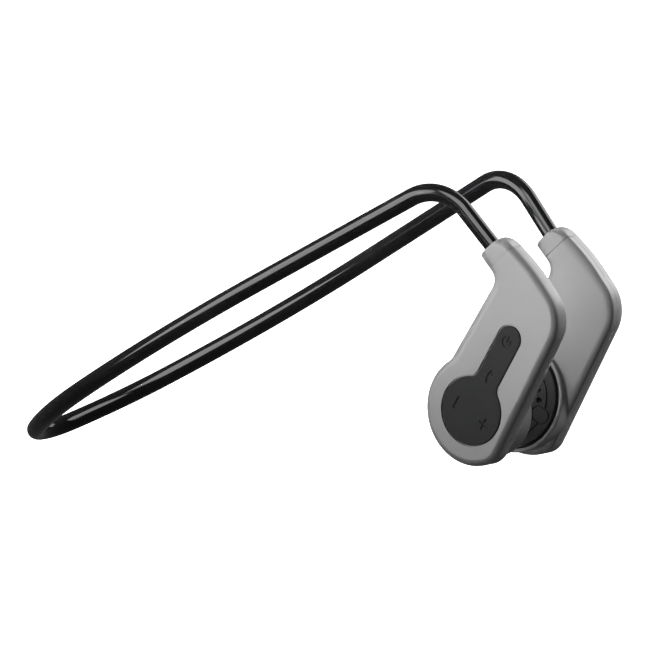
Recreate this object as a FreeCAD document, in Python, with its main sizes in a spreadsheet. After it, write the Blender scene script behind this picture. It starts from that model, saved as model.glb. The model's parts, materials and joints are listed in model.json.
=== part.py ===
import FreeCAD, Part
import math
import os
import Sketcher
from FreeCAD import Placement, Rotation, Vector

# Bone conduction headphones.  +X points forward, +Y to the wearer's left, +Z up.
# The shape is drawn about the centre of the right keypad's round lobe, seen from the side (x, z),
# and is moved at the end so that the origin is the bottom centre of its bounding box.
# The right-hand pieces are built; the left-hand twins are their mirror images.

DIMENSIONS = {
    # Housings: flat boomerangs whose mid-planes stand half_gap either side of the centre.
    "half_gap": 12.4,
    "half_thick": 3.0,
    "wall": 1.2,
    "edge_round": 1.8,
    "lobe_radius": 14.0,
    "shoulder_round": 3.0,
    "toe_round": 6.5,
    "arm_angle": 56.7,
    "low_angle": 58.7,
    "low_reach": 11.8,
    "rear_angle": 54.7,
    "rear_reach": 12.3,
    "brow_x": 19.15,
    "brow_z": 36.1,
    "brow_angle": -53.2,
    "brow_round": 50.0,
    "nose_round": 10.0,
    "elbow_round": 3.5,
    "part_line": 0.1,
    # Neck and collar, along the leg of the tube.
    "collar_x": 6.5,
    "collar_z": 41.4,
    "collar_lean": 0.65,
    "collar_length": 4.4,
    "tube_stop": 0.4,
    "collar_bevel": 0.7,
    "neck_rear": 3.7,
    "neck_front": 5.3,
    "collar_front": 4.5,
    # Neckband: one flat loop, tilted, and a hook over each ear.
    "tube_dia": 4.6,
    "leg_dia": 4.2,
    "bore_dia": 3.0,
    "wire_dia": 1.0,
    "cable_dia": 1.5,
    "wire_shift": 0.75,
    "cable_shift": -0.6,
    "band_tilt": 27.2,
    "rear_x": -141.3,
    "hook_x": -6.77,
    "rear_radius": 10.25,
    "rear_heading": 40.4,
    "side_radius": 56.7,
    "side_heading": 12.9,
    "flank_radius": 185.0,
    "flank_heading": -7.8,
    "hook_radius": 12.0,
    "rear_span": 8.0,
    "core_tail": 7.0,
    # The block that grips the wire and the cable, below the collar.
    "anchor_drop": 1.5,
    "anchor_wide": 4.6,
    "anchor_deep": 3.4,
    "anchor_tall": 3.6,
    # Pod and driver, measured along the pad's outward axis from the rim.
    "pod_tilt": 8.0,
    "pod_x": -1.6,
    "pod_z": 1.0,
    "pod_out": 5.7,
    "rim_radius": 14.0,
    "base_radius": 12.9,
    "base_x": -0.9,
    "base_z": 0.5,
    "mouth_radius": 12.9,
    "mouth_depth": 1.4,
    "pod_bore": 11.2,
    "pod_depth": 3.7,
    "overcut": 1.0,
    "yoke_hole": 10.0,
    "pad_radius": 12.3,
    "pad_proud": 0.3,
    "pad_thick": 1.2,
    "surround_outer": 12.85,
    "surround_inner": 12.4,
    "surround_thick": 0.8,
    "surround_drop": 0.5,
    "plate_radius": 8.6,
    "plate_thick": 0.5,
    "coil_outer": 6.6,
    "coil_inner": 5.9,
    "coil_tall": 1.6,
    "spring_outer": 8.4,
    "spring_inner": 7.1,
    "spring_thick": 0.2,
    "spring_drop": 1.75,
    "yoke_radius": 8.6,
    "yoke_inner": 7.4,
    "yoke_tall": 3.25,
    "yoke_floor": 0.7,
    "magnet_radius": 5.3,
    "magnet_tall": 1.9,
    "pole_tall": 0.7,
    "frame_radius": 11.0,
    "frame_thick": 0.7,
    "frame_clear": 0.02,
    # Keypad: a round lobe with a stem along the arm; keys placed along and across the stem.
    "pad_lobe": 8.75,
    "stem_half": 3.35,
    "stem_reach": 22.0,
    "stem_blend": 3.0,
    "keypad_thick": 0.6,
    "keypad_gap": 0.35,
    "key_radius": 2.3,
    "key_tall": 0.95,
    "key_clear": 0.1,
    "key_well": 2.6,
    "power_along": 21.0,
    "call_along": 10.5,
    "volume_along": -0.7,
    "volume_across": 4.8,
    # Electronics.  "out" is the distance outward from the housing's mid-plane.
    "board_out": 0.9,
    "board_thick": 0.7,
    "board_lobe": 9.4,
    "board_reach": 27.0,
    "board_front": 9.0,
    "board_rear": 9.5,
    "dome_radius": 1.6,
    "dome_tall": 0.15,
    "screw_radius": 0.5,
    "screw_head": 1.0,
    "screw_length": 1.4,
    "screw_head_tall": 0.4,
    "high_screw_along": 24.5,
    "high_screw_across": -6.5,
    "low_screw_along": 16.0,
    "low_screw_across": 7.5,
    "radio_along": 19.5,
    "radio_across": 3.0,
    "radio_length": 7.0,
    "radio_wide": 7.0,
    "radio_tall": 1.2,
    "chip_along": 18.0,
    "chip_across": -4.0,
    "chip_length": 4.0,
    "chip_wide": 4.0,
    "chip_tall": 0.9,
    "antenna_along": 25.6,
    "antenna_across": 2.0,
    "antenna_length": 1.6,
    "antenna_wide": 12.0,
    "antenna_tall": 0.5,
    "mic_along": 20.2,
    "mic_across": -8.0,
    "mic_length": 3.4,
    "mic_wide": 1.8,
    "mic_tall": 2.2,
    "battery_along": 21.6,
    "battery_across": 0.0,
    "battery_length": 12.0,
    "battery_wide": 17.0,
    "battery_tall": 3.2,
    "charger_along": 29.0,
    "charger_across": 3.0,
    "charger_length": 1.6,
    "charger_wide": 8.0,
    "charger_tall": 1.2,
    "arm_floor": 14.2,
    "slot_along": 20.6,
    "slot_length": 5.0,
    "slot_wide": 0.6,
    "slot_out": -1.2,
    "contact_radius": 0.5,
    "contact_tall": 1.15,
    "contact_x": 7.3,
    "contact_y": -0.9,
    "contact_pitch": 2.8,
    "tab_half": 1.8,
    "tab_length": 5.0,
    "tab_thick": 0.5,
    "tab_angle": 28.0,
    "tab_reach": 11.4,
}

doc = FreeCAD.newDocument("BoneConductionHeadphones")
sheet = doc.addObject("Spreadsheet::Sheet", "Sizes")
for row, (alias, value) in enumerate(DIMENSIONS.items(), 1):
    sheet.set("A%d" % row, alias)
    sheet.set("B%d" % row, str(value))
    sheet.setAlias("B%d" % row, alias)
doc.recompute()

nodes = {}


def size(alias):
    return float(getattr(sheet, alias))


def bind(thing, **formulas):
    """Bind each property of a thing to a formula in the sheet's names."""
    for prop, formula in formulas.items():
        thing.setExpression(prop, formula)


def keep(thing, name):
    """Make a thing the sub-part of that name."""
    thing.Label = name
    nodes[name] = thing
    return thing


def left_copy(name, source):
    """The left-hand mirror image of a right-hand shape."""
    twin = doc.addObject("Part::Mirroring", name)
    twin.Source = source
    twin.Normal = Vector(0, 1, 0)
    return keep(twin, name)


# ---------------------------------------------------------------- plane geometry

def unit(angle):
    """Unit vector at an angle above the x axis, in degrees."""
    turn = math.radians(angle)
    return Vector(math.cos(turn), math.sin(turn), 0)


def square(v):
    """A plane vector turned a quarter turn anticlockwise."""
    return Vector(-v.y, v.x, 0)


ARM = unit(size("arm_angle"))
ACROSS = square(ARM)
LOW_WAY = unit(size("low_angle"))
LOW_SIDE = square(LOW_WAY) * -1


def on_arm(along, across):
    """Point given along and across the arm, from the lobe's centre."""
    return ARM * along + ACROSS * across


def crossing(first, second):
    """Point where two lines meet; a line is its normal and its distance along that normal."""
    (n, c), (k, d) = first, second
    det = n.x * k.y - n.y * k.x
    return Vector((c * k.y - d * n.y) / det, (n.x * d - k.x * c) / det, 0)


def corner_arc(first, second, radius, bulge):
    """Start, middle and end of a tangent arc between two lines; bulge is 1 outward, -1 inward."""
    (n, c), (k, d) = first, second
    reach = bulge * radius
    centre = crossing((n, c - reach), (k, d - reach))
    middle = centre + (n + k).normalize() * reach
    return [centre + n * reach, middle, centre + k * reach]


def shoulder_arc(line, upward, lobe, radius):
    """Hollow arc from a line into the circle about the lobe's centre, from line to circle."""
    n, c = line
    rise = math.sqrt((lobe + radius) ** 2 - (c + radius) ** 2)
    centre = n * (c + radius) + upward * rise
    inward = Vector(centre).normalize()
    middle = centre - (n + inward).normalize() * radius
    return [centre - n * radius, middle, inward * lobe]


def round_lobe(start, end, lobe):
    """Arc of the lobe's circle from start to end, round its side away from the arm."""
    return [start, ARM * -lobe, end]


LEG_TOP = Vector(size("collar_x"), size("collar_z"), 0)
HOOK = Vector(
    size("hook_x"),
    size("tube_dia") / 2 - size("lobe_radius")
    + (size("hook_x") - size("rear_x")) * math.tan(math.radians(size("band_tilt"))),
    0)
LEG = (LEG_TOP - HOOK).normalize()
LEG_FRONT = square(LEG)
NECK_TOP = LEG_TOP + LEG * size("collar_length")


def toe_arc(line, downward, lobe, radius):
    """Rounded corner where a line cuts into the circle about the lobe's centre, from line to circle."""
    n, c = line
    drop = math.sqrt((lobe - radius) ** 2 - (c - radius) ** 2)
    centre = n * (c - radius) + downward * drop
    outward = Vector(centre).normalize()
    middle = centre + (n + outward).normalize() * radius
    return [centre + n * radius, middle, outward * lobe]


def line_at(point, way, inset):
    """The line through a point, its outward side to the left of its way, moved inward by the inset."""
    normal = square(way)
    return (normal, point.dot(normal) - inset)


def housing_outline(inset, top_inset=0.0):
    """The boomerang's outline as a closed chain: two points make a line, three make an arc."""
    lobe = size("lobe_radius") - inset
    rear_way = unit(size("rear_angle"))
    brow = Vector(size("brow_x"), size("brow_z"), 0)
    neck_corner = NECK_TOP + LEG_FRONT * size("neck_front")
    top = (LEG * -1, NECK_TOP.dot(LEG * -1) - top_inset)
    front = line_at(neck_corner, (brow - neck_corner).normalize(), inset)
    cheek = line_at(brow, unit(size("brow_angle")), inset)
    low = (LOW_SIDE, size("low_reach") - inset)
    rear = (square(rear_way), size("rear_reach") - inset)
    neck = (LEG_FRONT * -1, size("neck_rear") - LEG_TOP.dot(LEG_FRONT) - inset)
    bend = corner_arc(front, cheek, size("brow_round") - inset, 1)
    nose = corner_arc(cheek, low, size("nose_round") - inset, 1)
    toe = toe_arc(low, LOW_WAY * -1, lobe, size("toe_round") - inset)
    shoulder = shoulder_arc(rear, rear_way, lobe, size("shoulder_round") + inset)
    elbow = corner_arc(rear, neck, size("elbow_round") + inset, -1)
    front_top = crossing(top, front)
    neck_top = crossing(neck, top)
    return [
        [front_top, bend[0]],
        bend,
        [bend[2], nose[0]],
        nose,
        [nose[2], toe[0]],
        toe,
        round_lobe(toe[2], shoulder[2], lobe),
        shoulder[::-1],
        [shoulder[0], elbow[0]],
        elbow,
        [elbow[2], neck_top],
        [neck_top, front_top],
    ]


def keypad_outline(gap):
    """The keypad's keyhole outline, grown by the gap."""
    lobe = size("pad_lobe") + gap
    half = size("stem_half") + gap
    hollow = size("stem_blend") - gap
    left = shoulder_arc((ACROSS, half), ARM, lobe, hollow)
    right = shoulder_arc((ACROSS * -1, half), ARM, lobe, hollow)
    end = on_arm(size("stem_reach"), 0)
    cap = [end + ACROSS * half, end + ARM * half, end - ACROSS * half]
    return [
        [left[0], cap[0]],
        cap,
        [cap[2], right[0]],
        right,
        round_lobe(right[2], left[2], lobe),
        left[::-1],
    ]


def box_outline(way, side, low, high, near, far):
    """A rectangle from low to high along a way and from near to far to its side."""
    corners = [way * low + side * near, way * high + side * near,
               way * high + side * far, way * low + side * far]
    return [[corners[i - 1], corners[i]] for i in range(4)]


# ---------------------------------------------------------------- bodies and sketches

def side_body(name):
    """A body whose side-view plane is the right housing's mid-plane."""
    body = doc.addObject("PartDesign::Body", name)
    body.Placement = Placement(Vector(0, -size("half_gap"), 0), Rotation())
    return keep(body, name)


def origin_plane(body, role):
    return [item for item in body.Origin.OriginFeatures if item.Role == role][0]


def side_sketch(body, name, out=None):
    """A sketch in the side view, moved outward by a formula."""
    sketch = body.newObject("Sketcher::SketchObject", name)
    sketch.AttachmentSupport = [(origin_plane(body, "XZ_Plane"), "")]
    sketch.MapMode = "FlatFace"
    if out:
        sketch.setExpression(".AttachmentOffset.Base.z", out)
    return sketch


def draw(sketch, *outlines):
    """Draw closed chains of lines and arcs, fixed where they are."""
    for outline in outlines:
        for points in outline:
            shape = Part.LineSegment(*points) if len(points) == 2 else Part.Arc(*points)
            index = sketch.addGeometry(shape, False)
            sketch.addConstraint(Sketcher.Constraint("Block", index))
    return sketch


def draw_circle(sketch, centre, radius):
    """Draw a circle whose radius follows a formula."""
    index = sketch.addGeometry(Part.Circle(centre, Vector(0, 0, 1), 1.0), False)
    for axis, value in ((1, centre.x), (2, centre.y)):
        kind = "DistanceX" if axis == 1 else "DistanceY"
        sketch.addConstraint(Sketcher.Constraint(kind, -1, 1, index, 3, value))
    ring = sketch.addConstraint(Sketcher.Constraint("Radius", index, 1.0))
    sketch.setExpression("Constraints[%d]" % ring, radius)
    return sketch


def feature(body, kind, sketch, length, backward=False):
    """A pad or pocket on a sketch; backward turns it toward the head."""
    item = body.newObject("PartDesign::" + kind, kind + "_" + sketch.Name)
    item.Profile = sketch
    item.Reversed = backward
    bind(item, Length=length)
    sketch.Visibility = False
    doc.recompute()
    return item


def add(body, sketch, length, backward=False):
    return feature(body, "Pad", sketch, length, backward)


def cut(body, sketch, length, backward=False):
    """A pocket, checked to have removed something."""
    before = body.Shape.Volume
    item = feature(body, "Pocket", sketch, length, backward)
    if item.Shape.Volume > before - 0.01:
        raise RuntimeError("nothing was cut by " + item.Name)
    return item


def round_edges(body, radius, chosen):
    """Round the body's edges that the test picks."""
    base = body.Tip
    edges = ["Edge%d" % (i + 1) for i, edge in enumerate(base.Shape.Edges) if chosen(edge)]
    item = body.newObject("PartDesign::Fillet", "Fillet_" + base.Name)
    item.Base = (base, edges)
    bind(item, Radius=radius)
    doc.recompute()
    return item


def rim_edge(level):
    """Picks the outline's edges at a level, without the straight one across the neck's top."""
    top = NECK_TOP.dot(LEG)

    def chosen(edge):
        points = [vertex.Point for vertex in edge.Vertexes]
        flat = all(abs(point.y - level) < 1e-4 for point in points)
        across = all(abs(point.x * LEG.x + point.z * LEG.y - top) < 1e-4 for point in points)
        return flat and not across
    return chosen


# ---------------------------------------------------------------- housings

KEYS = {
    "power": on_arm(size("power_along"), 0),
    "call": on_arm(size("call_along"), 0),
    "minus": on_arm(size("volume_along"), size("volume_across")),
    "plus": on_arm(size("volume_along"), -size("volume_across")),
}
BOARD_SCREWS = [on_arm(size(end + "_screw_along"), size(end + "_screw_across")) for end in ("high", "low")]


def outer_shell(name, has_keypad):
    """The shell away from the head: a shallow tray, with the keypad's recess and key wells."""
    body = side_body(name)
    rim = draw(side_sketch(body, name + "_outline", "Sizes.part_line / 2"), housing_outline(0.0))
    add(body, rim, "Sizes.half_thick - Sizes.part_line / 2")
    round_edges(body, "Sizes.edge_round", rim_edge(-size("half_thick")))
    cavity = draw(side_sketch(body, name + "_cavity"), housing_outline(size("wall"), -1.0))
    cut(body, cavity, "Sizes.half_thick - Sizes.wall", True)
    if has_keypad:
        recess = side_sketch(body, name + "_recess", "Sizes.half_thick - Sizes.keypad_thick")
        draw(recess, keypad_outline(size("keypad_gap")))
        cut(body, recess, "Sizes.keypad_thick", True)
        wells = side_sketch(body, name + "_wells", "Sizes.half_thick - Sizes.wall")
        for centre in KEYS.values():
            draw_circle(wells, centre, "Sizes.key_well")
        cut(body, wells, "Sizes.wall", True)
        holes = side_sketch(body, name + "_screws", "Sizes.half_thick - Sizes.wall")
        for centre in BOARD_SCREWS:
            draw_circle(holes, centre, "Sizes.screw_radius + Sizes.frame_clear")
        cut(body, holes, "Sizes.screw_length - Sizes.board_thick", True)
    return body


POD_RIM = Vector(size("pod_x"), size("pod_out") - size("half_gap"), size("pod_z"))
POD_FRAME = Placement(POD_RIM, Rotation(Vector(1, 0, 0), size("pod_tilt") - 90))


def pod_sketch(body, name, drop):
    """A sketch square to the pod's axis, a formula's distance below the rim."""
    sketch = body.newObject("Sketcher::SketchObject", name)
    sketch.AttachmentSupport = [(origin_plane(body, "XY_Plane"), "")]
    sketch.MapMode = "FlatFace"
    frame = body.Placement.inverse().multiply(POD_FRAME)
    sketch.AttachmentOffset = frame.multiply(Placement(Vector(0, 0, -drop), Rotation()))
    return sketch


def inner_shell(name, has_slot):
    """The shell toward the head: a tray that swells into the round wall of the pod."""
    body = side_body(name)
    rim = draw(side_sketch(body, name + "_outline", "-Sizes.part_line / 2"), housing_outline(0.0))
    add(body, rim, "Sizes.half_thick - Sizes.part_line / 2", True)
    round_edges(body, "Sizes.edge_round", rim_edge(size("half_thick")))
    base = side_sketch(body, name + "_pod_base", "-Sizes.part_line / 2")
    draw_circle(base, Vector(size("base_x"), size("base_z"), 0), "Sizes.base_radius")
    head = draw_circle(pod_sketch(body, name + "_pod_rim", 0), Vector(0, 0, 0), "Sizes.rim_radius")
    pod = body.newObject("PartDesign::AdditiveLoft", name + "_pod")
    pod.Profile = base
    pod.Sections = [head]
    doc.recompute()
    mouth = draw_circle(pod_sketch(body, name + "_mouth", 0), Vector(0, 0, 0), "Sizes.mouth_radius")
    cut(body, mouth, "Sizes.mouth_depth")
    bore = draw_circle(pod_sketch(body, name + "_bore", 0), Vector(0, 0, 0), "Sizes.pod_bore")
    cut(body, bore, "Sizes.pod_depth")
    below = size("pod_depth") - size("wall")
    hole = draw_circle(pod_sketch(body, name + "_hole", below), Vector(0, 0, 0), "Sizes.yoke_hole")
    cut(body, hole, "2 * Sizes.pod_out")
    cavity = draw(side_sketch(body, name + "_cavity"), arm_cavity())
    cut(body, cavity, "Sizes.half_thick - Sizes.wall")
    if has_slot:
        slot = side_sketch(body, name + "_slot", "Sizes.slot_out")
        middle, half = size("slot_along"), size("slot_length") / 2
        inside = size("low_reach") - size("wall") - size("overcut")
        outside = size("low_reach") + size("overcut")
        draw(slot, box_outline(LOW_WAY, LOW_SIDE, middle - half, middle + half, inside, outside))
        cut(body, slot, "Sizes.slot_wide")
    return body


def arm_cavity():
    """The hollow of the arm, without the lobe: cut off square to the arm above the pod."""
    outline = housing_outline(size("wall"), -1.0)
    floor = size("arm_floor")
    low_line, rear_line = outline[4], outline[8]
    rear_way = unit(size("rear_angle"))
    low_end = low_line[1] + LOW_WAY * ((floor - low_line[1].dot(ARM)) / LOW_WAY.dot(ARM))
    rear_end = rear_line[0] + rear_way * ((floor - rear_line[0].dot(ARM)) / rear_way.dot(ARM))
    cut_off = [[low_line[0], low_end], [low_end, rear_end], [rear_end, rear_line[1]]]
    return outline[:4] + cut_off + outline[9:]


def collar_section(block, name, front, inset=0.0, out=None):
    """A rounded rectangle round the leg's line: x forward, y to the left, moved down the leg by out."""
    sketch = block.newObject("Sketcher::SketchObject", name)
    sketch.AttachmentSupport = [(origin_plane(block, "XY_Plane"), "")]
    sketch.MapMode = "FlatFace"
    if out:
        sketch.setExpression(".AttachmentOffset.Base.z", out)
    deep, rear = size("half_thick"), size("neck_rear")
    ways = [Vector(1, 0, 0), Vector(0, 1, 0), Vector(-1, 0, 0), Vector(0, -1, 0)]
    sides = [(way, reach - inset) for way, reach in zip(ways, (front, deep, rear, deep))]
    arcs = [corner_arc(sides[i - 1], sides[i], size("edge_round") - inset, 1) for i in range(4)]
    outline = []
    for i, arc in enumerate(arcs):
        outline += [[arcs[i - 1][2], arc[0]], arc]
    return draw(sketch, outline)


def collar(name):
    """The rounded block at the neck's top that holds the end of the tube, wider toward the neck."""
    block = doc.addObject("PartDesign::Body", name + "_block")
    loft = block.newObject("PartDesign::AdditiveLoft", name + "_loft")
    loft.Profile = collar_section(block, name + "_top", size("collar_front"), size("collar_bevel"))
    loft.Sections = [
        collar_section(block, name + "_bevel", size("collar_front"), 0.0, "Sizes.collar_bevel"),
        collar_section(block, name + "_seam", size("neck_front"), 0.0, "Sizes.collar_length"),
    ]
    loft.Ruled = True
    doc.recompute()
    block.Placement = leg_frame(0.0)
    hole = doc.addObject("Part::Cylinder", name + "_hole")
    bind(hole, Radius="Sizes.leg_dia / 2 + Sizes.frame_clear", Height="3 * Sizes.collar_length")
    start, way = tube_leg(0.0)
    hole.Placement = Placement(start - way * size("collar_length"), Rotation(Vector(0, 0, 1), way))
    piece = doc.addObject("Part::Cut", name)
    piece.Base = block
    piece.Tool = hole
    return keep(piece, name)


def leg_frame(along):
    """Frame on the leg's line in the housing's mid-plane: z down the leg, y to the left."""
    down = Vector(LEG.x, 0, LEG.y)
    side = Vector(0, 1, 0)
    turn = Rotation(side.cross(down), side, down, "ZXY")
    spot = LEG_TOP + LEG * along
    return Placement(Vector(spot.x, -size("half_gap"), spot.y), turn)


# ---------------------------------------------------------------- neckband

REAR = Vector(size("rear_x"), 0, size("tube_dia") / 2 - size("lobe_radius"))
TILT = math.radians(size("band_tilt"))


def on_band(point, side):
    """A point of the tilted loop: x runs forward from its rear, y outward to one side."""
    return REAR + Vector(math.cos(TILT) * point.x, side * point.y, math.sin(TILT) * point.x)


def loop_arcs(shift):
    """The three arcs of one side of the loop, as (centre, radius, first and last heading)."""
    start = Vector(0, 0, 0)
    heading = 90.0
    arcs = []
    for part in ("rear", "side", "flank"):
        radius = size(part + "_radius")
        last = size(part + "_heading")
        centre = start - square(unit(heading)) * radius
        arcs.append((centre, radius + shift, heading, last))
        start = centre + square(unit(last)) * radius
        heading = last
    return arcs


def arc_point(arc, heading):
    centre, radius = arc[0], arc[1]
    return centre + square(unit(heading)) * radius


def tube_corner(shift, side):
    """Where the loop's straight side and the leg's line would meet, above the ear."""
    last = loop_arcs(shift)[-1]
    start = arc_point(last, last[3])
    way = unit(last[3])
    reach = (size("hook_x") - size("rear_x")) / math.cos(TILT)
    return on_band(start + way * ((reach - start.x) / way.x), side)


def tube_leg(shift, side=-1):
    """The leg's point at the collar's top and its direction."""
    top = Vector(LEG_TOP.x, side * (size("half_gap") + size("collar_lean") + shift), LEG_TOP.y)
    return top, (top - tube_corner(shift, side)).normalize()


def half_path(shift, side, first_heading, tail):
    """Edges of one side of the band, from its rear to past the collar's top by the tail."""
    edges = []
    for arc in loop_arcs(shift):
        first = min(arc[2], first_heading)
        points = [arc_point(arc, h) for h in (first, (first + arc[3]) / 2, arc[3])]
        edges.append(Part.Arc(*[on_band(point, side) for point in points]).toShape())
        straight_start = on_band(points[2], side)
    corner = tube_corner(shift, side)
    top, down = tube_leg(shift, side)
    forward = (corner - straight_start).normalize()
    half_turn = forward.getAngle(down) / 2
    radius = size("hook_radius")
    reach = radius * math.tan(half_turn)
    arc_start = corner - forward * reach
    arc_end = corner + down * reach
    middle = corner + (down - forward).normalize() * (radius / math.cos(half_turn) - radius)
    edges.append(Part.LineSegment(straight_start, arc_start).toShape())
    edges.append(Part.Arc(arc_start, middle, arc_end).toShape())
    edges.append(Part.LineSegment(arc_end, top + down * tail).toShape())
    return edges


def swept(edges, radius):
    """A round bar along joined edges, checked against its section times its length."""
    path = Part.Wire(Part.__sortEdges__(edges))
    first = path.OrderedEdges[0]
    start = path.OrderedVertexes[0].Point
    at_start = first.valueAt(first.FirstParameter).distanceToPoint(start) < 1e-6
    way = first.tangentAt(first.FirstParameter if at_start else first.LastParameter)
    section = Part.Wire(Part.Circle(start, way, radius).toShape())
    bar = path.makePipeShell([section], True, True)
    expected = math.pi * radius ** 2 * path.Length
    if abs(bar.Volume - expected) > 0.01 * expected:
        raise RuntimeError("a sweep's volume is wrong")
    return bar


def shaped(name, shape):
    piece = doc.addObject("Part::Feature", name)
    piece.Shape = shape
    piece.Placement = Placement()
    return keep(piece, name)


SPAN_HEADING = 90.0 - math.degrees(size("rear_span") / 2 / size("rear_radius"))
TUBE_RADIUS = size("tube_dia") / 2
BORE_RADIUS = size("bore_dia") / 2


def side_sleeve(side):
    """One side of the silicone tube; it is a little thinner down the leg."""
    edges = half_path(0.0, side, SPAN_HEADING, size("collar_length") - size("tube_stop"))
    thick = swept(edges[:-1], TUBE_RADIUS)
    thin = swept(edges[-1:], size("leg_dia") / 2)
    return thick.fuse(thin).cut(swept(edges, BORE_RADIUS))


def rear_sleeve():
    """The short stretch at the very back, where the band flexes."""
    arc = loop_arcs(0.0)[0]
    ends = arc_point(arc, SPAN_HEADING)
    edge = Part.Arc(on_band(ends, -1), REAR, on_band(ends, 1)).toShape()
    return swept([edge], TUBE_RADIUS).cut(swept([edge], BORE_RADIUS))


def core(shift, radius):
    """A wire through the whole band, beside the tube's middle line."""
    tail = size("collar_length") + size("core_tail")
    edges = half_path(shift, -1, 90.0, tail) + half_path(shift, 1, 90.0, tail)
    return swept(edges, radius)


def wire_anchor(name):
    """The block in the neck that grips the spring wire and the cable."""
    block = doc.addObject("Part::Box", name + "_block")
    bind(block, Length="Sizes.anchor_wide", Width="Sizes.anchor_deep", Height="Sizes.anchor_tall")
    frame = leg_frame(size("collar_length") + size("anchor_drop"))
    corner = Vector(-size("anchor_wide") / 2, -size("anchor_deep") / 2, 0)
    block.Placement = frame.multiply(Placement(corner, Rotation()))
    bars = []
    for label, shift in (("wire", "wire_shift"), ("cable", "cable_shift")):
        bar = doc.addObject("Part::Cylinder", name + "_" + label)
        bind(bar, Radius="Sizes.%s_dia / 2 + Sizes.frame_clear" % label,
             Height="Sizes.collar_length + Sizes.core_tail")
        start, way = tube_leg(size(shift))
        bar.Placement = Placement(start, Rotation(Vector(0, 0, 1), way))
        bars.append(bar)
    holes = doc.addObject("Part::MultiFuse", name + "_holes")
    holes.Shapes = bars
    piece = doc.addObject("Part::Cut", name)
    piece.Base = block
    piece.Tool = holes
    return keep(piece, name)


# ---------------------------------------------------------------- pods

def pod_disc(name, radius, tall, top, centre=Vector(0, 0, 0)):
    """A disc square to the pod's axis, its top a formula's distance above the rim."""
    disc = doc.addObject("Part::Cylinder", name)
    bind(disc, Radius=radius, Height=tall)
    doc.recompute()
    raised = Placement(centre + Vector(0, 0, top - disc.Height.Value), Rotation())
    disc.Placement = POD_FRAME.multiply(raised)
    return disc


def pod_ring(name, outer, inner, tall, top):
    ring = doc.addObject("Part::Cut", name)
    ring.Base = pod_disc(name + "_outer", outer, tall, top)
    over = size("overcut")
    ring.Tool = pod_disc(name + "_inner", inner, tall + " + 2 * Sizes.overcut", top + over)
    return ring


def driver(side):
    """The moving-coil driver of one pod, from the pad down to the yoke."""
    pad_under = size("pad_proud") - size("pad_thick")
    plate_under = pad_under - size("plate_thick")
    keep(pod_disc(side + "drive_plate", "Sizes.plate_radius", "Sizes.plate_thick", pad_under),
         side + "drive_plate")
    keep(pod_ring(side + "voice_coil", "Sizes.coil_outer", "Sizes.coil_inner", "Sizes.coil_tall", plate_under),
         side + "voice_coil")
    keep(pod_ring(side + "pad_surround", "Sizes.surround_outer", "Sizes.surround_inner",
                  "Sizes.surround_thick", -size("surround_drop")), side + "pad_surround")
    keep(pod_ring(side + "leaf_spring", "Sizes.spring_outer", "Sizes.spring_inner",
                  "Sizes.spring_thick", -size("spring_drop")), side + "leaf_spring")
    yoke_top = -size("spring_drop") - size("spring_thick")
    yoke = doc.addObject("Part::Cut", side + "yoke")
    yoke.Base = pod_disc(side + "yoke_cup", "Sizes.yoke_radius", "Sizes.yoke_tall", yoke_top)
    well = size("yoke_tall") - size("yoke_floor")
    yoke.Tool = pod_disc(side + "yoke_well", "Sizes.yoke_inner", "2 * (Sizes.yoke_tall - Sizes.yoke_floor)",
                         yoke_top + well)
    keep(yoke, side + "yoke")
    magnet_top = yoke_top - well + size("magnet_tall")
    keep(pod_disc(side + "magnet", "Sizes.magnet_radius", "Sizes.magnet_tall", magnet_top), side + "magnet")
    keep(pod_disc(side + "pole_plate", "Sizes.magnet_radius", "Sizes.pole_tall",
                  magnet_top + size("pole_tall")), side + "pole_plate")
    frame_top = size("frame_thick") - size("pod_depth")
    keep(pod_ring(side + "driver_frame", "Sizes.frame_radius", "Sizes.yoke_radius + Sizes.frame_clear",
                  "Sizes.frame_thick", frame_top), side + "driver_frame")


def contact_pad(name):
    return keep(pod_disc(name, "Sizes.pad_radius", "Sizes.pad_thick", size("pad_proud")), name)


# ---------------------------------------------------------------- small pieces

def side_rod(name, centre, radius, tall, out):
    """A short rod square to the right housing; out is its outer end from the mid-plane."""
    rod = doc.addObject("Part::Cylinder", name)
    bind(rod, Radius=radius, Height=tall)
    base = Vector(centre.x, -size("half_gap") - out, centre.y)
    rod.Placement = Placement(base, Rotation(Vector(1, 0, 0), -90))
    return rod


def group(name, things):
    """Identical pieces kept as one node of separate solids."""
    bunch = doc.addObject("Part::Compound", name)
    bunch.Links = things
    return keep(bunch, name)


def side_block(name, prefix, side, outer):
    """A block laid along the arm, sized by the prefix's entries; outer is how far out its face is."""
    block = doc.addObject("Part::Box", name)
    bind(block, Length="Sizes.%s_length" % prefix, Width="Sizes.%s_tall" % prefix,
         Height="Sizes.%s_wide" % prefix)
    centre = on_arm(size(prefix + "_along"), size(prefix + "_across"))
    corner = centre - ARM * (size(prefix + "_length") / 2) - ACROSS * (size(prefix + "_wide") / 2)
    low = size("half_gap") + outer - size(prefix + "_tall") if side > 0 else -size("half_gap") - outer
    turn = Rotation(Vector(0, 1, 0), -size("arm_angle"))
    block.Placement = Placement(Vector(corner.x, low, corner.y), turn)
    return keep(block, name)


def keypad():
    body = side_body("keypad")
    sheet_out = "Sizes.half_thick - Sizes.keypad_thick"
    add(body, draw(side_sketch(body, "keypad_outline", sheet_out), keypad_outline(0.0)), "Sizes.keypad_thick")
    holes = side_sketch(body, "keypad_holes", sheet_out)
    for centre in KEYS.values():
        draw_circle(holes, centre, "Sizes.key_radius + Sizes.key_clear")
    cut(body, holes, "Sizes.keypad_thick", True)


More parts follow.
